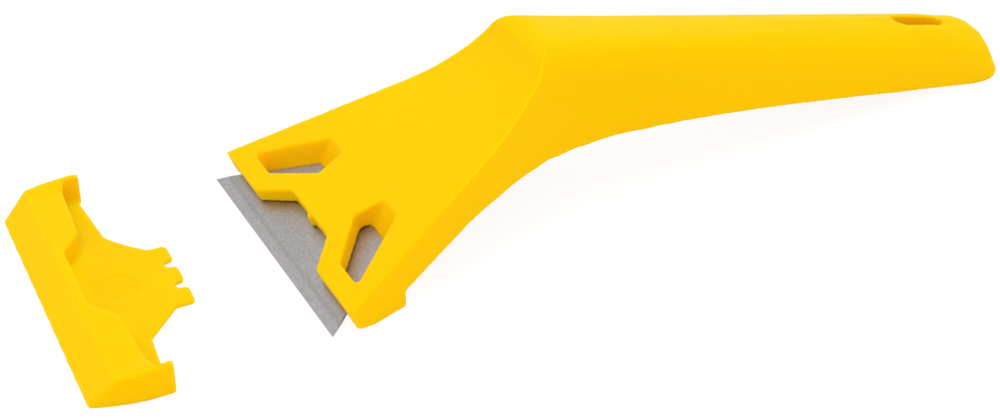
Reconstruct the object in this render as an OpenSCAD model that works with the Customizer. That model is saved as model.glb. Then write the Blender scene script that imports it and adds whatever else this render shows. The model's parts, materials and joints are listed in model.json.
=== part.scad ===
// Blade scraper for glass, tiles and painted surfaces: a one-piece moulded handle with
// its blade holder, a trapezoidal utility blade, and a blade cap that lies in front.
// Millimetres. The origin is the middle of the cutting edge, where it meets the surface
// that the scraper lies on. +X runs to the rear along that surface and +Z is up.

/* [Blade] */
// Length of the cutting edge
blade_len = 62; // [54:1:70]
// Length of the blade's back
blade_back = 33; // [29:1:37]
// Depth from the cutting edge to the back
blade_depth = 19; // [17:0.5:21]
// Thickness of the blade
blade_t = 0.65; // [0.4:0.05:0.9]
// Width of the ground bevel along the cutting edge
bevel_w = 3; // [1.5:0.25:4]
// Width of each notch in the blade's back
notch_w = 3.2; // [2.4:0.2:4]
// Depth of each notch in the blade's back
notch_depth = 2; // [1:0.25:3]
// Distance between the two notches
notch_pitch = 11; // [9:0.5:12]

/* [Blade holder] */
// How far the cutting edge stands out of the holder
blade_reach = 4.7; // [3.5:0.1:6]
// Room between the cutting edge's end and the holder's corner
corner_margin = 1.7; // [0.8:0.1:3]
// Taper of each side of the holder, in degrees
head_taper = 20.6; // [18:0.1:22]
// Height of the top face over the blade's middle plane, at the front
jaw_h = 3.6; // [3:0.1:4.6]
// Rise of the top face towards the neck, in degrees
deck_rise = 3.4; // [1:0.1:5]
// How far the side walls reach below the blade's middle plane
rim_drop = 2.7; // [2.2:0.1:3.4]
// Wall thickness of the moulding
wall = 2.2; // [1.6:0.1:2.8]
// Length of the bar in front of each window
bar_len = 4.4; // [3.4:0.1:5.4]
// How far each window's slanted wall reaches beside the blade's end, at the top
ledge_w = 3; // [2:0.1:3.6]
// How far each window's slanted wall reaches behind the blade's back, at the top
rear_ledge = 4.5; // [3:0.1:6]
// Width of the centre tab over the blade
tab_w = 17.8; // [16:0.2:19]
// How much the tab widens on each side towards its root
tab_flare = 1.2; // [0.4:0.1:2]
// How far the tab's front edge lies behind the holder's front
tab_setback = 5.8; // [4.5:0.1:7]
// Slant of the two struts between the tab and the front bars, in degrees
strut_angle = 50; // [46:1:53]
// Width of each strut
strut_w = 4.9; // [4:0.1:5.6]
// Clearance round the blade in its pocket
blade_fit = 0.1; // [0.05:0.01:0.2]
// Length of the runner under each front corner
shoe_len = 11; // [9:0.1:12]
// Thickness of each runner
shoe_t = 3.6; // [2.8:0.1:4.2]

/* [Neck] */
// Length of the flat top face behind the blade
deck_len = 23.9; // [20:0.1:27]
// Length of the ramp from the flat top face to the peak
ramp_len = 22.8; // [22:0.1:25]
// Radius of the ramp's long hollow
ramp_r = 48; // [40:1:50]
// Slope at which the ramp's hollow tightens, in degrees
ramp_turn = 24; // [20:0.5:25]
// Radius of the tight part of the hollow
bend_r = 10; // [6:0.5:11]
// Slope of the ramp's top, in degrees
ramp_slope = 45; // [40:1:50]
// Radius over the peak between ramp and grip
peak_r = 7.5; // [3:0.25:9]
// Radius of the hollow under the neck
neck_r = 55; // [48:1:70]
// Depth of the grip at the neck
neck_depth = 22.4; // [21:0.2:24]

/* [Grip] */
// Length of the grip along its top, from the peak to the end
grip_len = 123.5; // [105:0.1:145]
// Slope of the grip's top below the blade's plane, in degrees
grip_slope = 33.6; // [30:0.1:37]
// Width of the grip at the neck
grip_w = 19.4; // [18:0.2:22]
// Width of the grip at the end
end_w = 18.6; // [16:0.2:20]
// Depth that the grip tapers towards
end_depth = 9.1; // [8.4:0.1:10.6]
// Length of the rounded end
end_round = 9; // [7:0.5:14]
// Radius of the end's corners seen from above
end_corner = 4.5; // [3:0.25:7]
// Length of the hanging slot
slot_len = 14.2; // [11:0.2:17]
// Width of the hanging slot
slot_w = 5.7; // [4.6:0.1:6.4]
// Distance from the end of the grip to the slot's middle
slot_from_end = 22; // [19:0.5:26]
// Wall of the collar round the hanging slot, inside the grip
collar_t = 1.6; // [1.2:0.1:2]
// Number of cross ribs inside the grip
rib_count = 4; // [2:1:6]
// Thickness of the ribs
rib_t = 1.4; // [1:0.1:2]

/* [Blade cap] */
// Room between the holder's corner and the cap's end
cap_margin = 0.1; // [0:0.05:0.8]
// Height of the cap
cap_h = 5.7; // [5.2:0.1:6.6]
// Slant of the cap's front face, in degrees
cap_slant = 44; // [40:1:50]
// Thickness of the cap's floor and tongue
cap_floor = 0.9; // [0.7:0.05:1.4]
// Wall thickness of the cap
cap_wall = 1.5; // [1.1:0.1:1.9]
// Depth of the cap's floor from front to rear
cap_depth = 16.1; // [14.5:0.1:18]
// Length of the lip behind the ridge, at the ends
lip_len = 7.2; // [5.5:0.1:8.4]
// Half-width of the gap in the lip at the ridge
lip_gap = 8; // [6:0.25:10]
// Length of the tongue's tapered part
tongue_len = 7.1; // [6:0.1:9]
// Width of the tongue at its root
tongue_w = 36; // [33:0.5:39]
// Number of teeth on the tongue
tooth_count = 3; // [2:1:4]
// Distance between the teeth
tooth_pitch = 7.5; // [6.6:0.1:8]
// Length of the teeth
tooth_len = 2.2; // [1.4:0.1:3]
// Distance from the cutting edge to the cap's front edge as it lies
cap_away = 45.5; // [44:0.1:60]
// How far the cap lies off the middle
cap_shift = 1.9; // [-4:0.1:4]
// Turn of the cap as it lies, in degrees
cap_turn = -2.5; // [-4:0.1:4]

/* [Hidden] */

// How far cuts run past the faces that they open
over = 1;
// Sides of round cuts
$fn = 48;
// Points across half of the top of a cross-section: its crown and its shoulder
crown_steps = 3;
arch_steps = 8;
// Cross-sections along the neck, its turn, the grip and the rounded end
ramp_steps = 8;
turn_steps = 6;
grip_steps = 12;
end_steps = 9;
// Steps in each rounded corner of an outline, and the most of a side that a corner takes
corner_steps = 4;
corner_share = 0.45;
// Steps along the underside of the end, for the point that it rests on
rest_steps = 36;

// Handle details
// Shoulder of a cross-section as a share of its half-width, and the rise of its crown
shoulder_share = 0.6;
crown_share = 0.03;
// Softness of the change from the holder's taper to the grip's sides
side_soft = 1.6;
// How far the hollow under the neck starts before the ramp
hollow_back = 6;
// How far the neck's sections stay upright, behind the ramp's start
turn_back = 14;
// Distance from the peak at which the grip has its own section
turn_len = 14;
// Length over which the grip's depth fades to its end depth
depth_fade = 53;
// Rise of the underside at the very end
heel_rise = 2;
// Curve of the end seen from the side: powers with which the top falls and fades out
end_curve = 1.95;
end_fade = 1.3;
// Height of the flat left at the very tip
tip_h = 0.9;
// How far the hollow reaches round the end, in degrees
hollow_reach = 60;
// Room between a runner and the surface
shoe_gap = 0.1;
// Drop of the holder's front corner below the blade's middle plane
toe_drop = 0.6;
// Length of the curve from the front corner to the runner
toe_len = 4.6;
// Room at the struts for the cap's tongue
pad_relief = 2.6;
// Corner radius of the windows and the front notch
window_round = 0.8;
// Width of the sill between the blade and the foot of a window's slanted wall
sill_w = 0.5;
// Radius of the lug on the tab's front edge
lug_r = 0.8;
// Size of the locating nibs against the notches
nib_fit = 0.35;
// Depth of the ribs' lower edges above the rim
rib_recess = 3;
// Depth of the collar round the hanging slot
collar_depth = 6;
// Slant of the step at the runner's heel
heel_len = 1.6;

// Cap details
// Height of the cap's blunt front edge
cap_nose = 0.7;
// Bow of the end walls seen from above, and its place behind the front edge
cap_bow = 2.3;
bow_x = 12;
// How far the end walls stop before the floor's rear edge
end_back = 0.6;
// Thickness of the lip
lip_t = 1.5;
// How far the lip's rear edge steps forward towards the middle
lip_sweep = 1.2;
// Length of the slanted inner end of the lip
lip_slant = 6.8;
// Radius and depth of the round mark on the floor, and its place behind the front edge
mark_r = 4.5;
mark_depth = 0.3;
mark_back = 14.4;
// Width of each tooth, and the rounding of teeth and notches
tooth_w = 5.3;
tooth_round = 1.3;
// Length of the tongue's straight end below the teeth
tongue_end = 1.7;
// Thickness of the tongue at its teeth
tip_t = 1.1;
// How far the floor's rear edge draws in towards the end walls
floor_draw = 1.3;

plastic = [0.99, 0.80, 0.05];
steel = [0.66, 0.65, 0.64];

// Blade and holder, worked out
blade_slant = (blade_len - blade_back) / 2 / blade_depth;
head_hw = blade_len / 2 + corner_margin;
bar_x = blade_reach + bar_len;
tab_x = blade_reach + tab_setback;
stop_x = blade_depth + blade_fit;
window_x = blade_depth + rear_ledge;
strut_x = tab_x + strut_w / sin(strut_angle);
cavity_x = window_x + wall;
ramp_x = blade_depth + deck_len;
peak_x = ramp_x + ramp_len;
neck_x = ramp_x - hollow_back;
end_x = peak_x + grip_len * cos(grip_slope);
turn_x = ramp_x + turn_back;
blade_top = blade_t / 2;

function mix(a, b, t) = a + (b - a) * t;
function ease(t) = t * t * (3 - 2 * t);
function soft_min(a, b, k) = (a + b - sqrt((a - b) * (a - b) + k * k)) / 2;
function soft_max(a, b, k) = -soft_min(-a, -b, k);
function bezier(a, b, c, t) = mix(mix(a, b, t), mix(b, c, t), t);
function flip(points) = [for (i = [len(points) - 1:-1:0]) [points[i].x, -points[i].y]];
function unit(v) = v / norm(v);
function steps(a, b, n) = [for (i = [0:n]) mix(a, b, i / n)];
function tail(list) = [for (i = [1:len(list) - 1]) list[i]];

// An outline with its corners rounded to radius r, with less where a side is short
function rounded(points, r) = [
    for (i = [0:len(points) - 1])
        let (
            n = len(points),
            b = points[i],
            a = points[(i + n - 1) % n],
            c = points[(i + 1) % n],
            u = unit(a - b),
            v = unit(c - b),
            half = acos(max(-1, min(1, u * v))) / 2,
            reach = min(r / tan(half), norm(a - b) * corner_share, norm(c - b) * corner_share)
        )
        for (k = [0:corner_steps]) bezier(b + u * reach, b, b + v * reach, k / corner_steps)
];

// Half-width of the moulding seen from above: holder, then grip
function grip_hw(x) = mix(grip_w, end_w, (x - peak_x) / (end_x - peak_x)) / 2;
function head_side(x) = head_hw - tan(head_taper) * (x - blade_reach);
function half_w(x) = soft_max(head_side(x), grip_hw(x), side_soft);

// Top of the moulding seen from the side: flat face, long hollow, tight hollow, ramp, peak
function deck_z(x) = jaw_h + tan(deck_rise) * (x - blade_reach);
function turn(centre, r, a) = centre + r * [sin(a), -cos(a)];
hollow_mid = [ramp_x, deck_z(ramp_x)] - turn([0, 0], ramp_r, deck_rise);
bend_mid = turn(hollow_mid, ramp_r - bend_r, ramp_turn);
bend_end = turn(bend_mid, bend_r, ramp_slope);
peak = [peak_x, bend_end.y + (peak_x - bend_end.x) * tan(ramp_slope)];
peak_half = (ramp_slope + grip_slope) / 2;
peak_reach = min(peak_r * tan(peak_half), (peak_x - bend_end.x) / cos(ramp_slope));
peak_round = peak_reach / tan(peak_half);
peak_mid = peak - peak_reach * [cos(ramp_slope), sin(ramp_slope)] + turn([0, 0], peak_round, ramp_slope);
hollow_line = concat(
    [for (a = steps(deck_rise, ramp_turn, ramp_steps)) turn(hollow_mid, ramp_r, a)],
    [for (a = tail(steps(ramp_turn, ramp_slope, ramp_steps))) turn(bend_mid, bend_r, a)]
);
top_line = concat(
    [[blade_reach - over, deck_z(blade_reach - over)]],
    hollow_line,
    [for (a = steps(ramp_slope, -grip_slope, ramp_steps)) turn(peak_mid, -peak_round, a)]
);
function grip_top(x) = peak.y - tan(grip_slope) * (x - peak_x);

// Grip in its own direction: s runs along its top from the peak, depth is square to that
grip_dir = [cos(grip_slope), -sin(grip_slope)];
grip_up = [sin(grip_slope), cos(grip_slope)];
end_start = grip_len - end_round;
function end_share(s) = max(0, s - end_start) / end_round;
function depth(s) = end_depth + (neck_depth - end_depth) * exp((turn_len - s) / depth_fade)
    - heel_rise * pow(end_share(s), 2);
function top_drop(s) = (depth(s) - tip_h) * (1 - pow(1 - pow(end_share(s), end_curve), end_fade));
function on_grip(s, d) = peak + s * grip_dir - d * grip_up;
function corner_hw(s) = let (t = max(0, s - grip_len + end_corner))
    end_corner - sqrt(max(0, end_corner * end_corner - t * t));
// The angle at which the scraper lies: cutting edge and grip end on the surface
under_end = [for (s = steps(end_start, grip_len, rest_steps)) on_grip(s, depth(s))];
rake = max([for (p = under_end) atan2(-p.y, p.x)]);

// Lower edge of the front corners and of the side walls, down to the hollow under the neck
function floor_z(x) = shoe_gap / cos(rake) - x * tan(rake);
toe_lift = -toe_drop - floor_z(blade_reach);
function toe_z(x) = floor_z(x) + toe_lift * pow(max(0, 1 - (x - blade_reach) / toe_len), 2);
function neck_rise(x) = x > neck_x ? neck_r - sqrt(neck_r * neck_r - pow(x - neck_x, 2)) : 0;
function rim_z(x) = max(toe_z(x), -rim_drop) - neck_rise(x);

// Half of a cross-section's top, crown and round shoulder: its drop and its distance from the middle
top_half = concat(
    [for (i = [0:crown_steps - 1]) let (t = i / crown_steps)
        [crown_share * t * t, (1 - shoulder_share) * t]],
    [for (a = steps(0, 90, arch_steps))
        [crown_share + shoulder_share * (1 - cos(a)), 1 - shoulder_share * (1 - sin(a))]]
);
// One cross-section, given by its highest point, its lean, its rise, its half-widths at the top
// and at the lower edge, and its lower edge
function section(top, lean, rise, hw_top, hw_low, low) = let (
    half = [
        for (q = top_half) let (p = top - rise * q.x * [sin(lean), cos(lean)])
            [p.x, hw_top * q.y, p.y],
        [low.x, hw_low, low.y]
    ],
    last = len(half) - 1
) concat([for (i = [last:-1:1]) [half[i].x, -half[i].y, half[i].z]], half);

// Sections of the moulding, drawn in by the wall where they describe its hollow
function below(in) = in > 0 ? over : 0;
function head_section(x, in) = section(
    [x, grip_top(x) - in / cos(grip_slope)],
    0,
    (half_w(x) - in) / cos(grip_slope),
    half_w(x) - in,
    half_w(x) - in,
    [x, rim_z(x) - below(in)]
);
function turn_section(t, in) = let (
    x = mix(turn_x, on_grip(turn_len, 0).x, t),
    low = mix([turn_x, rim_z(turn_x)], on_grip(turn_len, depth(turn_len)), t),
    lean = grip_slope * t,
    square = cos(grip_slope - lean),
    hw = half_w((x + low.x) / 2)
) section(
    [x, grip_top(x)] - in / square * [sin(lean), cos(lean)],
    lean,
    (hw - in) / square,
    hw - in,
    half_w(low.x) - in,
    low - [0, below(in)]
);
function grip_section(s, in) = let (
    hw = grip_hw(on_grip(s, 0).x),
    room = 1 - top_drop(s) / depth(s),
    share = 1 - in / hw
) section(
    on_grip(s, top_drop(s) + in * room),
    grip_slope,
    hw * room * share,
    (hw - corner_hw(s)) * share,
    (hw - corner_hw(s)) * share,
    on_grip(s, depth(s) + below(in))
);

// Solid over a row of cross-sections
module skin(rows) {
    n = len(rows[0]);
    last = len(rows) - 1;
    polyhedron(
        points = [for (row = rows) each row],
        faces = concat(
            [[for (i = [n - 1:-1:0]) i]],
            [for (j = [0:last - 1], i = [0:n - 1], k = [0, 1])
                let (a = j * n + i, b = j * n + (i + 1) % n)
                k == 0 ? [a, b, a + n] : [b, b + n, a + n]],
            [[for (i = [0:n - 1]) last * n + i]]
        )
    );
}

// Everything above the flat face and the ramp, moved by the wall for the hollow
module over_top(in) {
    sky = grip_top(blade_reach) + head_hw;
    translate([in * tan(ramp_slope / 2), 0, -in]) side_slab(concat(
        top_line,
        [[peak_x, sky], [blade_reach - over, sky]]
    ), 2 * head_hw + over);
}

module outer_form() {
    difference() {
        skin(concat(
            [for (x = steps(blade_reach, blade_reach + toe_len, corner_steps)) head_section(x, 0)],
            [for (x = steps(neck_x, turn_x, ramp_steps)) head_section(x, 0)],
            [for (t = tail(steps(0, 1, turn_steps))) turn_section(t, 0)],
            [for (s = tail(steps(turn_len, end_start, grip_steps))) grip_section(s, 0)],
            [for (a = tail(steps(0, 90, end_steps))) grip_section(end_start + end_round * sin(a), 0)]
        ));
        over_top(0);
    }
}

module hollow() {
    inner_steps = ramp_steps / 2;
    difference() {
        skin(concat(
            [for (x = steps(cavity_x, turn_x, inner_steps)) head_section(x, wall)],
            [for (t = tail(steps(0, 1, inner_steps))) turn_section(t, wall)],
            [for (s = tail(steps(turn_len, end_start - wall, inner_steps))) grip_section(s, wall)],
            [for (a = tail(steps(0, hollow_reach, inner_steps)))
                grip_section(end_start - wall + end_round * sin(a), wall)]
        ));
        over_top(wall);
    }
}

// Outlines in the blade's plane, right half first
function blade_end(x) = blade_len / 2 - blade_slant * x;
blade_half = [
    [0, blade_len / 2],
    [blade_depth, blade_back / 2],
    [blade_depth, (notch_pitch + notch_w) / 2],
    [blade_depth - notch_depth, (notch_pitch + notch_w) / 2],
    [blade_depth - notch_depth, (notch_pitch - notch_w) / 2],
    [blade_depth, (notch_pitch - notch_w) / 2]
];
pocket_half = [
    [-over, blade_end(-over) + blade_fit],
    [stop_x, blade_end(stop_x) + blade_fit]
];
window_half = [
    [bar_x, blade_end(bar_x) + ledge_w],
    [window_x, blade_end(window_x) + ledge_w],
    [window_x, tab_w / 2 + tab_flare],
    [strut_x, tab_w / 2],
    [bar_x, tab_w / 2 + (strut_x - bar_x) * tan(strut_angle)]
];
sill_x = blade_depth + sill_w;
sill_half = [
    [bar_x, blade_end(bar_x) + sill_w],
    [sill_x, blade_end(sill_x) + sill_w],
    [sill_x, tab_w / 2 + tab_flare],
    [strut_x, tab_w / 2],
    [bar_x, tab_w / 2 + (strut_x - bar_x) * tan(strut_angle)]
];
notch_half = [
    [blade_reach - over, tab_w / 2 + (tab_setback + over) * tan(strut_angle)],
    [tab_x, tab_w / 2]
];
// Room under the blade between the runners and the two floor pads
throat_half = [
    [blade_reach - over, head_side(blade_reach - over) - shoe_t],
    [bar_x, head_side(bar_x) - shoe_t],
    [bar_x, tab_w / 2 + pad_relief + (strut_x - bar_x) * tan(strut_angle)],
    [strut_x, tab_w / 2 + pad_relief],
    [stop_x, tab_w / 2 + pad_relief]
];

module slab(points, low, high) {
    translate([0, 0, low]) linear_extrude(high - low) polygon(points);
}
module both_sides() {
    children();
    mirror([0, 1, 0]) children();
}
// An outline in the X-Z plane, made y_size wide about the middle
module side_slab(points, y_size) {
    translate([0, y_size / 2, 0]) rotate([90, 0, 0]) linear_extrude(y_size) polygon(points);
}
// From the blade's plane to the pose in which the scraper lies
module at_rake() {
    rotate([0, -rake, 0]) children();
}

module holder_cuts() {
    low = -blade_top - blade_fit;
    high = blade_top + blade_fit;
    clear = peak.y + over;
    slab(concat(pocket_half, flip(pocket_half)), low, high);
    slab(concat(throat_half, flip(throat_half)), -clear, high);
    slab(rounded(concat(notch_half, flip(notch_half)), window_round), low, clear);
    mouth = deck_z(window_x);
    both_sides() {
        skin([
            [for (p = rounded(sill_half, window_round)) [p.x, p.y, blade_top]],
            [for (p = rounded(window_half, window_round)) [p.x, p.y, mouth]]
        ]);
        slab(rounded(window_half, window_round), mouth, clear);
    }
}

// Nibs that enter the notches in the blade's back, and the lug on the tab's front edge
module holder_lugs() {
    nib_w = notch_w - 2 * nib_fit;
    both_sides() slab([
        [stop_x + over, notch_pitch / 2 - nib_w / 2],
        [stop_x + over, notch_pitch / 2 + nib_w / 2],
        [blade_depth - notch_depth + nib_fit, notch_pitch / 2 + nib_w / 2],
        [blade_depth - notch_depth + nib_fit, notch_pitch / 2 - nib_w / 2]
    ], -rim_drop, blade_top + blade_fit + over);
    translate([tab_x, 0, blade_top + blade_fit])
        cylinder(r = lug_r, h = deck_z(tab_x) - lug_r - blade_top);
}

// Runners under the front corners, down to the surface that the scraper lies on
module runners() {
    heel_x = blade_reach + shoe_len;
    heel_start = heel_x - heel_len / 2;
    heel_end = heel_x + heel_len / 2;
    profile = concat(
        [[blade_reach, 0]],
        [for (x = steps(blade_reach, blade_reach + toe_len, corner_steps)) [x, toe_z(x)]],
        [for (t = steps(0, 1, corner_steps)) bezier(
            [heel_start, floor_z(heel_start)],
            [heel_x, floor_z(heel_x)],
            [heel_end, -rim_drop],
            t)],
        [[heel_end, 0]]
    );
    band = [
        [blade_reach, head_side(blade_reach)],
        [heel_end, head_side(heel_end)],
        [heel_end, head_side(heel_end) - shoe_t],
        [blade_reach, head_side(blade_reach) - shoe_t]
    ];
    intersection() {
        side_slab(profile, 2 * head_hw);
        both_sides() slab(band, floor_z(heel_end) - over, over);
    }
}

// Two ribs under the top face and cross ribs inside the grip
module stiffeners() {
    rib_y = tab_w / 2 - rib_t;
    tops = concat([[cavity_x - over, deck_z(cavity_x - over)]], hollow_line);
    profile = concat(
        [for (p = tops) p - [0, wall / 2]],
        [for (i = [len(tops) - 1:-1:0]) [tops[i].x, rim_z(tops[i].x) + rib_recess]]
    );
    for (side = [-1, 1]) translate([0, side * rib_y, 0]) side_slab(profile, rib_t);
    first = turn_len + rib_recess;
    last = grip_len - slot_from_end - slot_len;
    for (i = [0:rib_count - 1]) {
        s = mix(first, last, i / (rib_count - 1));
        p = on_grip(s, wall / 2);
        hw = grip_hw(on_grip(s, 0).x) - wall / 2;
        half = concat(hw * top_half, [[max(depth(s) - rib_recess - wall / 2, hw), hw]]);
        translate([p.x, 0, p.y]) rotate([0, grip_slope + 90, 0])
            linear_extrude(rib_t, center = true) polygon(concat(half, flip(half)));
    }
}

// A long hole with round ends, square to the grip's top, from its depth up past the top
module long_hole(w, deep, past) {
    p = on_grip(grip_len - slot_from_end, 0);
    end = (slot_len - slot_w) / 2;
    translate([p.x, 0, p.y]) rotate([0, grip_slope, 0]) translate([0, 0, -deep]) {
        for (side = [-1, 1]) translate([side * end, 0, 0]) cylinder(d = w, h = deep + past);
        translate([-end, -w / 2, 0]) cube([2 * end, w, deep + past]);
    }
}

module handle() color(plastic) at_rake() {
    difference() {
        union() {
            difference() {
                outer_form();
                hollow();
            }
            runners();
            stiffeners();
            long_hole(slot_w + 2 * collar_t, collar_depth, -wall / 2);
        }
        holder_cuts();
        long_hole(slot_w, end_depth + over, over);
    }
    holder_lugs();
}

module blade() color(steel) at_rake() {
    slope = atan2(blade_top, bevel_w);
    difference() {
        slab(concat(blade_half, flip(blade_half)), -blade_top, blade_top);
        for (side = [-1, 1]) scale([1, 1, side]) rotate([0, -slope, 0])
            translate([-over, -blade_len, 0]) cube([bevel_w + over, 2 * blade_len, blade_t]);
    }
}

// Blade cap: floor with a toothed tongue, slanted front, two lips and two end walls
ridge_x = (cap_h - cap_nose) / tan(cap_slant);
cap_hw = head_hw + cap_margin;
tooth_x = cap_depth + tongue_len + tongue_end;
tip_hw = ((tooth_count - 1) * tooth_pitch + tooth_w) / 2;

lip_front = [ridge_x + cap_wall / 2, lip_gap];
lip_inner = [ridge_x + lip_len - lip_sweep, lip_gap + lip_slant];
tongue_side = [
    [mark_back, tongue_w / 2],
    [cap_depth, tongue_w / 2],
    [cap_depth + tongue_len, tip_hw]
];
tongue_points = concat(
    tongue_side,
    [for (i = [tooth_count - 1:-1:0]) let (y = (i - (tooth_count - 1) / 2) * tooth_pitch) each concat(
        i < tooth_count - 1 ? [[tooth_x, y + tooth_w / 2]] : [],
        [[tooth_x + tooth_len, y + tooth_w / 2], [tooth_x + tooth_len, y - tooth_w / 2]],
        i > 0 ? [[tooth_x, y - tooth_w / 2]] : []
    )],
    flip(tongue_side)
);

// Outline of the cap's ends seen from above
end_back_x = cap_depth - end_back;
function cap_side(x) = cap_hw + cap_bow * (1 - pow(1 - x / bow_x, 2));
end_line = [for (x = steps(0, end_back_x, arch_steps)) [x, cap_side(x)]];
function end_inside(in) = [for (p = end_line) p - [0, in]];
wall_band = concat(end_line, [for (i = [arch_steps:-1:0]) end_line[i] - [0, cap_wall]]);
floor_half = concat(end_inside(cap_wall / 2), [
    [cap_depth - floor_draw, cap_side(end_back_x) - cap_wall],
    [cap_depth, tongue_w / 2]
]);

module cap_body() {
    in = cap_wall / sin(cap_slant);
    wide = 2 * (cap_hw + cap_bow);
    span = end_inside(cap_wall / 2);
    slab(concat(floor_half, flip(floor_half)), 0, cap_floor);
    intersection() {
        union() {
            side_slab([[0, 0], [in, 0], [ridge_x + in, cap_h], [ridge_x, cap_h], [0, cap_nose]], wide);
            both_sides() {
                slab([
                    lip_front,
                    lip_inner,
                    [ridge_x + lip_len, wide / 2],
                    [ridge_x, wide / 2]
                ], cap_h - lip_t, cap_h);
                slab([
                    lip_front,
                    lip_inner,
                    lip_inner + [0, cap_wall],
                    lip_front + [0, cap_wall]
                ], cap_floor / 2, cap_h - lip_t / 2);
                translate([0, lip_gap + cap_wall / 2, 0]) side_slab([
                    [in / 2, cap_floor / 2],
                    [lip_front.x + cap_wall / 2, cap_floor / 2],
                    [lip_front.x + cap_wall / 2, cap_h - lip_t / 2]
                ], cap_wall);
            }
        }
        slab(concat(span, flip(span)), 0, cap_h);
    }
    intersection() {
        side_slab(
            [[0, 0], [end_back_x, 0], [end_back_x, cap_h], [ridge_x, cap_h], [0, cap_nose]],
            wide
        );
        both_sides() slab(wall_band, 0, cap_h);
    }
}

module tongue() {
    tip = tooth_x + tooth_len;
    intersection() {
        slab(rounded(tongue_points, tooth_round), 0, tip_t);
        side_slab(
            [[0, 0], [tip, 0], [tip, tip_t], [cap_depth, cap_floor], [0, cap_floor]],
            2 * cap_hw
        );
    }
}

module cap() color(plastic) translate([-cap_away, cap_shift, 0]) rotate(cap_turn) difference() {
    union() {
        cap_body();
        tongue();
    }
    translate([mark_back, 0, cap_floor - mark_depth]) cylinder(r = mark_r, h = over);
}

handle();
blade();
cap();
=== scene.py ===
import json

import bmesh
import bpy
import numpy as np
from mathutils import Matrix, Vector


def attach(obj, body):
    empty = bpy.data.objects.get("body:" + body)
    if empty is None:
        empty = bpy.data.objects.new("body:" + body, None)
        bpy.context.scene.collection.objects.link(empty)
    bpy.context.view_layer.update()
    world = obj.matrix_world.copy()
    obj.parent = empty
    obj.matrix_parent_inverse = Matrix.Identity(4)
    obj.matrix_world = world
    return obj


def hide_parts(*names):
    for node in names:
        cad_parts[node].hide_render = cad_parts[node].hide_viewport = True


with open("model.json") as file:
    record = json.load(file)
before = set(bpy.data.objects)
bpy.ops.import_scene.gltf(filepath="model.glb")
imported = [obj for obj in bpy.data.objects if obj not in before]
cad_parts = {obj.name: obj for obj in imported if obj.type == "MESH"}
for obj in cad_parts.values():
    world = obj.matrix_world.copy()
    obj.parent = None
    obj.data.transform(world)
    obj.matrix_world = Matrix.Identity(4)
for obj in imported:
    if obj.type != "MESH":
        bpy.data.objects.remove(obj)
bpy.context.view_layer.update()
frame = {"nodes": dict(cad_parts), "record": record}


# Handle: the wide blade holder, the ramp and the hollow grip, one yellow plastic moulding.
# Every edge leaves the mould slightly round, so the solid is drawn over with a fine skin that
# keeps to its faces and eases its edges.
def moulded(node, name, skin, easing):
    """A node's moulding: a skin of the given fineness over its solid, eased and thinned out."""
    most_triangles = 190000
    core = bpy.data.meshes.new(name + "_core")
    work = bmesh.new()
    work.from_mesh(frame["nodes"][node].data)
    bmesh.ops.remove_doubles(work, verts=work.verts, dist=1e-6)
    work.to_mesh(core)
    work.free()
    piece = bpy.data.objects.new(name + "_core", core)
    bpy.context.scene.collection.objects.link(piece)
    remesh = piece.modifiers.new("skin", "REMESH")
    remesh.mode = "VOXEL"
    remesh.voxel_size = skin
    remesh.use_smooth_shade = True
    ease = piece.modifiers.new("ease", "SMOOTH")
    ease.factor = 0.5
    ease.iterations = easing
    evaluated = piece.evaluated_get(bpy.context.evaluated_depsgraph_get())
    count = sum(len(polygon.vertices) - 2 for polygon in evaluated.data.polygons)
    if count > most_triangles:
        thin = piece.modifiers.new("thin", "DECIMATE")
        thin.ratio = most_triangles / count
        evaluated = piece.evaluated_get(bpy.context.evaluated_depsgraph_get())
    mesh = bpy.data.meshes.new_from_object(evaluated)
    bpy.data.objects.remove(piece)
    mesh.name = name
    finished = bpy.data.objects.new(name, mesh)
    bpy.context.scene.collection.objects.link(finished)
    return finished


handle = moulded("handle", "handle_moulding", skin=0.0003, easing=14)
mm_per_metre = 1000.0


def in_millimetres(piece):
    """The x, y and z of a piece's points, in millimetres."""
    points = np.empty((len(piece.data.vertices), 3))
    piece.data.vertices.foreach_get("co", points.ravel())
    return points.T * mm_per_metre


def reshape(piece, x, y, z):
    """Give a piece's points new places, in millimetres."""
    points = np.stack((x, y, z), axis=1) / mm_per_metre
    piece.data.vertices.foreach_set("co", points.ravel())
    piece.data.update()


def smooth(value, start, end):
    """0 before the start and 1 after the end, with a soft passage between them."""
    step = np.clip((value - start) / (end - start), 0.0, 1.0)
    return step * step * (3.0 - 2.0 * step)


# The grip in its own direction, in millimetres: place along its top from the peak, depth under
# that top, and half-width. The hanging slot is cut square to the grip, so it gives the lean.
mounts = {mount["name"]: mount for mount in frame["record"]["mounts"]}
lean, _, upright = mounts["hang_slot"]["axis"]
peak_x, peak_z = 56.25, 37.16
grip_length, peak_half_width, end_half_width = 123.5, 9.7, 9.3
end_depth, neck_depth, neck_place, neck_fade = 9.1, 13.3, 14.0, 53.0
x, y, z = in_millimetres(handle)
along = (x - peak_x) * upright - (z - peak_z) * lean
deep = (peak_x - x) * lean + (peak_z - z) * upright
full_depth = end_depth + neck_depth * np.exp((neck_place - along) / neck_fade)
half_width = np.interp(along, [0.0, grip_length], [peak_half_width, end_half_width])
to_side = np.clip(np.abs(y) / half_width, 0.0, 1.0)
near_top = np.clip(1.0 - deep / full_depth, 0.0, 1.0)


def fall(shoulder):
    """Fall of the grip's top from its middle to its side, with shoulders of the given share."""
    crown_share = 0.03
    sine = np.clip(1.0 - (1.0 - to_side) / shoulder, 0.0, 1.0)
    crown = crown_share * np.minimum(to_side / (1.0 - shoulder), 1.0) ** 2
    return half_width * (crown + shoulder * (1.0 - np.sqrt(1.0 - sine**2)))


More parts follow.
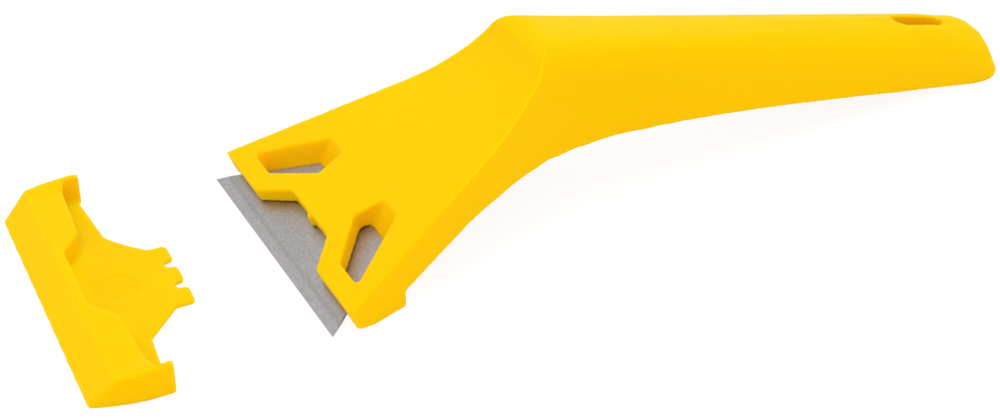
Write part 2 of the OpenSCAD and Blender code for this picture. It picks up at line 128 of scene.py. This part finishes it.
# The top grows rounder and a little higher along the grip. Near the end it dips a little, then
# stands fuller over the end's rounding, most of all at its two corners.
round_from, round_to = 20.0, 95.0
shoulder, rounder, top_lift = 0.6, 0.3, 1.1
dip_along = [104.0, 111.0, 115.5, 118.0, 120.5, 122.5]
dip = [0.0, -0.45, -0.6, -0.2, 0.6, 0.7]
corner_along = [115.9, 117.8, 119.2, 121.4]
corner_lift, corner_spare, corner_fade = 0.62, 1.5, 5.0
late = smooth(along, round_from, round_to)
full_corner = np.interp(along, corner_along, [0.0, corner_lift, corner_lift, 0.0])
full_corner *= np.clip((np.abs(y) + corner_spare) / corner_fade, 0.0, 1.0)
rise = top_lift * late + np.interp(along, dip_along, dip) + full_corner
rise = near_top * (rise + fall(shoulder) - fall(shoulder + rounder * late))

# The hanging slot is slim inside its collar, and the lower rim runs in one sweep from the neck
# to the grip's end.
slot_place, slot_reach, slot_fade = 101.5, 9.0, 1.6
slot_half, slim_half, collar_half = 2.85, 2.2, 4.45
rim_x = [33.0, 41.0, 52.0, 57.6, 63.0, 68.0, 74.0, 83.0, 103.0, 123.0, 145.0, 156.0, 168.0]
rim_z = [9.6, 12.1, 13.8, 13.5, 12.5, 12.2, 12.2, 11.8, 10.2, 7.6, 4.1, 2.1, 0.1]
rim_shift = [0.0, -0.8, -0.75, -0.5, 0.3, 0.38, 0.05, -0.25, -0.62, -0.88, -0.87, -0.53, -0.2]
rim_reach = 7.0
at_slot = np.clip((slot_reach - np.abs(along - slot_place)) / slot_fade, 0.0, 1.0)
slim_y = np.interp(np.abs(y), [0.0, slot_half, collar_half], [0.0, slim_half, collar_half])
y += np.where(np.abs(y) < collar_half, at_slot * (np.sign(y) * slim_y - y), 0.0)
above_rim = z - np.interp(x, rim_x, rim_z)
z += smooth(rim_reach - above_rim, 0.0, rim_reach) * np.interp(x, rim_x, rim_shift)
x += lean * rise
z = np.maximum(z + upright * rise, 0.0)
reshape(handle, x, y, z)


def noise(tree, place, scale, detail):
    """A noise over a place."""
    texture = tree.nodes.new("ShaderNodeTexNoise")
    texture.inputs["Scale"].default_value = scale
    texture.inputs["Detail"].default_value = detail
    tree.links.new(place, texture.inputs["Vector"])
    return texture.outputs["Fac"]


def between(tree, value, start, end, low=0.0, high=1.0):
    """A value's way from its start to its end, given as a number from low to high."""
    way = tree.nodes.new("ShaderNodeMapRange")
    way.inputs["From Min"].default_value = start
    way.inputs["From Max"].default_value = end
    way.inputs["To Min"].default_value = low
    way.inputs["To Max"].default_value = high
    tree.links.new(value, way.inputs["Value"])
    return way.outputs["Result"]


def combined(tree, operation, first, second):
    """Two values put together by a Math node."""
    result = tree.nodes.new("ShaderNodeMath")
    result.operation = operation
    tree.links.new(first, result.inputs[0])
    tree.links.new(second, result.inputs[1])
    return result.outputs["Value"]


def relief(tree, height, strength, depth):
    """The normal of a shallow relief."""
    bump = tree.nodes.new("ShaderNodeBump")
    bump.inputs["Strength"].default_value = strength
    bump.inputs["Distance"].default_value = depth
    tree.links.new(height, bump.inputs["Height"])
    return bump.outputs["Normal"]


def moulding_group():
    """Surface of a plastic moulding: slow flow tone, fine grain and faint handling marks."""
    group = bpy.data.node_groups.new("moulding", "ShaderNodeTree")
    for label, kind, way in (
        ("Colour", "NodeSocketColor", "INPUT"),
        ("Deep Colour", "NodeSocketColor", "INPUT"),
        ("Gloss Roughness", "NodeSocketFloat", "INPUT"),
        ("Colour", "NodeSocketColor", "OUTPUT"),
        ("Roughness", "NodeSocketFloat", "OUTPUT"),
        ("Height", "NodeSocketFloat", "OUTPUT"),
    ):
        group.interface.new_socket(label, in_out=way, socket_type=kind)
    links = group.links
    given = group.nodes.new("NodeGroupInput")
    out = group.nodes.new("NodeGroupOutput")
    place = group.nodes.new("ShaderNodeTexCoord").outputs["Object"]
    flow = noise(group, place, scale=38.0, detail=3.0)
    grain = noise(group, place, scale=2600.0, detail=2.0)
    marks = noise(group, place, scale=420.0, detail=4.0)
    colour = group.nodes.new("ShaderNodeMix")
    colour.data_type = "RGBA"
    links.new(between(group, flow, start=0.3, end=0.7), colour.inputs["Factor"])
    links.new(given.outputs["Colour"], colour.inputs["A"])
    links.new(given.outputs["Deep Colour"], colour.inputs["B"])
    links.new(colour.outputs["Result"], out.inputs["Colour"])
    worn = between(group, marks, start=0.35, end=0.65, low=-0.05, high=0.07)
    roughness = combined(group, "ADD", given.outputs["Gloss Roughness"], worn)
    links.new(roughness, out.inputs["Roughness"])
    links.new(grain, out.inputs["Height"])
    return group


def plastic(name, group, roughness):
    """A yellow plastic that lets a little light into its skin."""
    material = bpy.data.materials.new(name)
    material.use_nodes = True
    tree = material.node_tree
    shader = tree.nodes["Principled BSDF"]
    shader.inputs["Specular IOR Level"].default_value = 0.02
    shader.inputs["IOR"].default_value = 1.46
    shader.inputs["Specular Tint"].default_value = (1.0, 0.8, 0.1, 1.0)
    shader.inputs["Subsurface Weight"].default_value = 0.4
    shader.inputs["Subsurface Radius"].default_value = (1.0, 0.55, 0.06)
    shader.inputs["Subsurface Scale"].default_value = 0.003
    surface = tree.nodes.new("ShaderNodeGroup")
    surface.node_tree = group
    surface.inputs["Colour"].default_value = (1.0, 0.572, 0.001, 1.0)
    surface.inputs["Deep Colour"].default_value = (1.0, 0.556, 0.002, 1.0)
    surface.inputs["Gloss Roughness"].default_value = roughness
    tree.links.new(surface.outputs["Colour"], shader.inputs["Base Color"])
    tree.links.new(surface.outputs["Roughness"], shader.inputs["Roughness"])
    grain = relief(tree, surface.outputs["Height"], strength=0.25, depth=0.00002)
    tree.links.new(grain, shader.inputs["Normal"])
    return material


def paint_light(material, mask, colour):
    """Paint light into a plastic: mix a brighter colour into its colour as far as the mask says.
    """
    tree = material.node_tree
    base = tree.nodes["Principled BSDF"].inputs["Base Color"]
    painted_light = tree.nodes.new("ShaderNodeMix")
    painted_light.data_type = "RGBA"
    painted_light.inputs["B"].default_value = (*colour, 1.0)
    tree.links.new(mask, painted_light.inputs["Factor"])
    tree.links.new(base.links[0].from_socket, painted_light.inputs["A"])
    tree.links.new(painted_light.outputs["Result"], base)


# Painted highlight: thin bright lines are painted along the ramp's edges, where their rounding
# catches the light, above the holder and before the grip.
moulding = moulding_group()
handle_yellow = plastic("handle_yellow", moulding, roughness=0.42)
tree = handle_yellow.node_tree
bend = tree.nodes.new("ShaderNodeNewGeometry")
place = tree.nodes.new("ShaderNodeTexCoord")
spot = tree.nodes.new("ShaderNodeSeparateXYZ")
tree.links.new(place.outputs["Object"], spot.inputs["Vector"])
edge = between(tree, bend.outputs["Pointiness"], start=0.515, end=0.56)
above_holder = between(tree, spot.outputs["Z"], start=0.0145, end=0.0175)
before_grip = between(tree, spot.outputs["X"], start=0.064, end=0.060)
ramp_highlight = combined(tree, "MULTIPLY", edge, above_holder)
ramp_highlight = combined(tree, "MULTIPLY", ramp_highlight, before_grip)
paint_light(handle_yellow, ramp_highlight, (1.0, 0.68, 0.002))
handle.data.materials.append(handle_yellow)
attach(handle, "handle")
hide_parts("handle")


# Blade: a trapezoidal utility blade of hardened strip steel, ground grey along its length, its
# colour lighter in a band along its cutting edge and a little darker in the band behind that. It
# slides into the holder.
def colour_ramp(tree, value, stops):
    """Colours that pass from stop to stop along a value."""
    ramp = tree.nodes.new("ShaderNodeValToRGB")
    elements = ramp.color_ramp.elements
    for element, (position, colour) in ((elements[0], stops[0]), (elements[1], stops[-1])):
        element.position = position
        element.color = (*colour, 1.0)
    for position, colour in stops[1:-1]:
        elements.new(position).color = (*colour, 1.0)
    tree.links.new(value, ramp.inputs["Fac"])
    return ramp.outputs["Color"]


blade = frame["nodes"]["blade"]
steel = bpy.data.materials.new("blade_steel")
steel.use_nodes = True
tree = steel.node_tree
shader = tree.nodes["Principled BSDF"]
shader.inputs["Metallic"].default_value = 1.0
place = tree.nodes.new("ShaderNodeTexCoord").outputs["Object"]
strip = tree.nodes.new("ShaderNodeMapping")
strip.inputs["Scale"].default_value = (3200.0, 90.0, 3200.0)
tree.links.new(place, strip.inputs["Vector"])
grinding = noise(tree, strip.outputs["Vector"], scale=1.0, detail=3.0)
mottle = noise(tree, place, scale=1700.0, detail=4.0)
texture = tree.nodes.new("ShaderNodeMix")
texture.inputs["Factor"].default_value = 0.75
tree.links.new(grinding, texture.inputs["A"])
tree.links.new(mottle, texture.inputs["B"])
grey = colour_ramp(
    tree,
    texture.outputs["Result"],
    [(0.36, (0.364, 0.342, 0.334)), (0.64, (0.476, 0.446, 0.435))],
)

# The bands follow the distance from the cutting edge, whose mount points out of the blade.
band_reach = 0.005
bevel, step, body = (0.952, 0.955, 0.992), (0.812, 0.824, 0.832), (0.870, 0.880, 0.880)
from_edge = tree.nodes.new("ShaderNodeVectorMath")
from_edge.operation = "DOT_PRODUCT"
from_edge.inputs[1].default_value = [-part for part in mounts["cutting_edge"]["axis"]]
tree.links.new(place, from_edge.inputs[0])
bands = colour_ramp(
    tree,
    between(tree, from_edge.outputs["Value"], start=0.0, end=band_reach),
    [(0.39, bevel), (0.45, step), (0.57, step), (0.61, body)],
)
banded = tree.nodes.new("ShaderNodeMix")
banded.data_type = "RGBA"
banded.blend_type = "MULTIPLY"
banded.inputs["Factor"].default_value = 1.0
tree.links.new(grey, banded.inputs["A"])
tree.links.new(bands, banded.inputs["B"])
tree.links.new(banded.outputs["Result"], shader.inputs["Base Color"])
dull = between(tree, texture.outputs["Result"], start=0.0, end=1.0, low=0.34, high=0.52)
tree.links.new(dull, shader.inputs["Roughness"])
scratches = relief(tree, grinding, strength=0.2, depth=0.00002)
tree.links.new(scratches, shader.inputs["Normal"])
blade.data.materials.clear()
blade.data.materials.append(steel)


# Cap: a small moulding of the same yellow plastic that snaps over the cutting edge. It lies
# loose in front of the scraper, its tongue towards the blade.
cap = moulded("cap", "cap_moulding", skin=0.00025, easing=18)

# The cap in its own direction, in millimetres: depth from its front edge, and place along that
# edge. Its end walls rise softly towards the back and reach a little further, and the far half
# of its floor and tongue is a little larger.
front_x, front_y, cap_turn = -45.5, 1.9, np.radians(-2.5)
floor_top, wall_height, tongue_from, tongue_length = 0.9, 4.8, 16.0, 8.0
wall_lift, lift_from, lift_length = 1.05, 3.0, 11.0
wall_from, wall_to, back_from, back_to = 29.5, 33.6, 9.0, 14.0
far_from, far_to = 14.0, 19.0
near_reach, far_reach, far_width, tongue_narrowing = 0.3, 0.75, 0.7, 0.6
x, y, z = in_millimetres(cap)
inwards = (x - front_x) * np.cos(cap_turn) + (y - front_y) * np.sin(cap_turn)
sideways = (y - front_y) * np.cos(cap_turn) - (x - front_x) * np.sin(cap_turn)
in_wall = smooth(np.abs(sideways), wall_from, wall_to)
at_back = smooth(inwards, back_from, back_to)
up_wall = np.clip((z - floor_top) / wall_height, 0.0, 1.0)
on_tongue = np.clip((inwards - tongue_from) / tongue_length, 0.0, 1.0)
far_half = np.clip(sideways / far_from, 0.0, 1.0)
far_floor = smooth(sideways, far_from, far_to) * (1.0 - up_wall) * (1.0 - on_tongue)
wall_reach = np.where(sideways > 0.0, far_reach, near_reach) * in_wall
longer = at_back * np.maximum(wall_reach, far_reach * far_floor)
wider = far_width * at_back * far_half * (1.0 - in_wall) * (1.0 - tongue_narrowing * on_tongue)
z += wall_lift * in_wall * up_wall * np.clip((inwards - lift_from) / lift_length, 0.0, 1.0)
x += longer * np.cos(cap_turn) - wider * np.sin(cap_turn)
y += longer * np.sin(cap_turn) + wider * np.cos(cap_turn)
reshape(cap, x, y, z)

# Painted light: the cap's inner corners, where shade falls, are painted brighter, most of all on
# the floor, standing in for light that comes through the thin plastic.
dark, light = (0.0, 0.0, 0.0), (0.72, 0.72, 0.72)
cap_yellow = plastic("cap_yellow", moulding, roughness=0.40)
tree = cap_yellow.node_tree
corner = tree.nodes.new("ShaderNodeAmbientOcclusion")
corner.only_local = True
corner.inputs["Distance"].default_value = 0.006
painted_corner_light = colour_ramp(tree, corner.outputs["AO"], [(0.15, dark), (0.45, light), (0.95, dark)])
facing = tree.nodes.new("ShaderNodeNewGeometry")
upward = tree.nodes.new("ShaderNodeSeparateXYZ")
tree.links.new(facing.outputs["Normal"], upward.inputs["Vector"])
floor_share = between(tree, upward.outputs["Z"], start=0.0, end=0.8, low=0.45)
paint_light(cap_yellow, combined(tree, "MULTIPLY", painted_corner_light, floor_share), (1.0, 0.79, 0.002))
cap.data.materials.append(cap_yellow)
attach(cap, "cap")
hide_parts("cap")


# Table: a plain white surface under scraper and cap, lit softly from all round, with a
# little more light from above and from the near side.
def backdrop_rays(tree):
    """1 for rays that see the background: from the camera, in reflections and through glass."""
    path = tree.nodes.new("ShaderNodeLightPath")
    seen = combined(tree, "MAXIMUM", path.outputs["Is Camera Ray"], path.outputs["Is Glossy Ray"])
    return combined(tree, "MAXIMUM", seen, path.outputs["Is Transmission Ray"])


white = bpy.data.materials.new("table_white")
white.use_nodes = True
tree = white.node_tree
tree.nodes.remove(tree.nodes["Principled BSDF"])
matt = tree.nodes.new("ShaderNodeBsdfDiffuse")
matt.inputs["Color"].default_value = (0.94, 0.94, 0.94, 1.0)
glow = tree.nodes.new("ShaderNodeEmission")
glow.inputs["Strength"].default_value = 1.05
share = tree.nodes.new("ShaderNodeMath")
share.operation = "MULTIPLY"
share.inputs[1].default_value = 0.86
tree.links.new(backdrop_rays(tree), share.inputs[0])
mixed = tree.nodes.new("ShaderNodeMixShader")
tree.links.new(share.outputs["Value"], mixed.inputs["Fac"])
tree.links.new(matt.outputs["BSDF"], mixed.inputs[1])
tree.links.new(glow.outputs["Emission"], mixed.inputs[2])
tree.links.new(mixed.outputs["Shader"], tree.nodes["Material Output"].inputs["Surface"])
table_half, table_gap = 4.0, 0.0002
corners = [(-1.0, -1.0), (1.0, -1.0), (1.0, 1.0), (-1.0, 1.0)]
table_mesh = bpy.data.meshes.new("table")
table_mesh.from_pydata(
    [(table_half * across, table_half * away, -table_gap) for across, away in corners],
    [],
    [(0, 1, 2, 3)],
)
table = bpy.data.objects.new("table", table_mesh)
table.data.materials.append(white)
bpy.context.scene.collection.objects.link(table)

world = bpy.data.worlds.new("studio")
world.use_nodes = True
bpy.context.scene.world = world
tree = world.node_tree
sky = tree.nodes["Background"]
sky.inputs["Color"].default_value = (1.0, 1.0, 1.0, 1.0)
level = tree.nodes.new("ShaderNodeMix")
level.inputs["A"].default_value = 0.9
level.inputs["B"].default_value = 1.0
tree.links.new(backdrop_rays(tree), level.inputs["Factor"])
tree.links.new(level.outputs["Result"], sky.inputs["Strength"])


def lamp(name, place, size, power):
    """A round soft lamp that shines on the scraper's middle."""
    middle = Vector((0.06, 0.0, 0.0))
    data = bpy.data.lights.new(name, "AREA")
    data.shape = "DISK"
    data.size = size
    data.energy = power
    light = bpy.data.objects.new(name, data)
    light.location = place
    light.rotation_euler = (middle - Vector(place)).to_track_quat("-Z", "Y").to_euler()
    bpy.context.scene.collection.objects.link(light)


lamp("top_softbox", (0.0, 0.15, 1.1), size=1.2, power=3.7)
lamp("near_softbox", (0.0, -1.0, 0.7), size=0.9, power=0.7)

# Camera: at the photograph's place, its width of 36 mm seen through a 72 mm lens.
eye = bpy.data.cameras.new("camera")
eye.sensor_fit = "HORIZONTAL"
eye.sensor_width = 36.0
eye.lens = 72.0
eye.clip_start = 0.01
camera = bpy.data.objects.new("camera", eye)
stand = Vector((-0.10781, -0.31144, 0.22309))
right = Vector((0.89044, -0.45510, -0.00228))
up = Vector((0.25015, 0.48524, 0.83784))
back = Vector((-0.38019, -0.74661, 0.54591))
turn = Matrix((right, up, back)).transposed().to_4x4()
camera.matrix_world = Matrix.Translation(stand) @ turn
bpy.context.scene.collection.objects.link(camera)
bpy.context.scene.camera = camera

bpy.context.scene.view_settings.view_transform = "Standard"
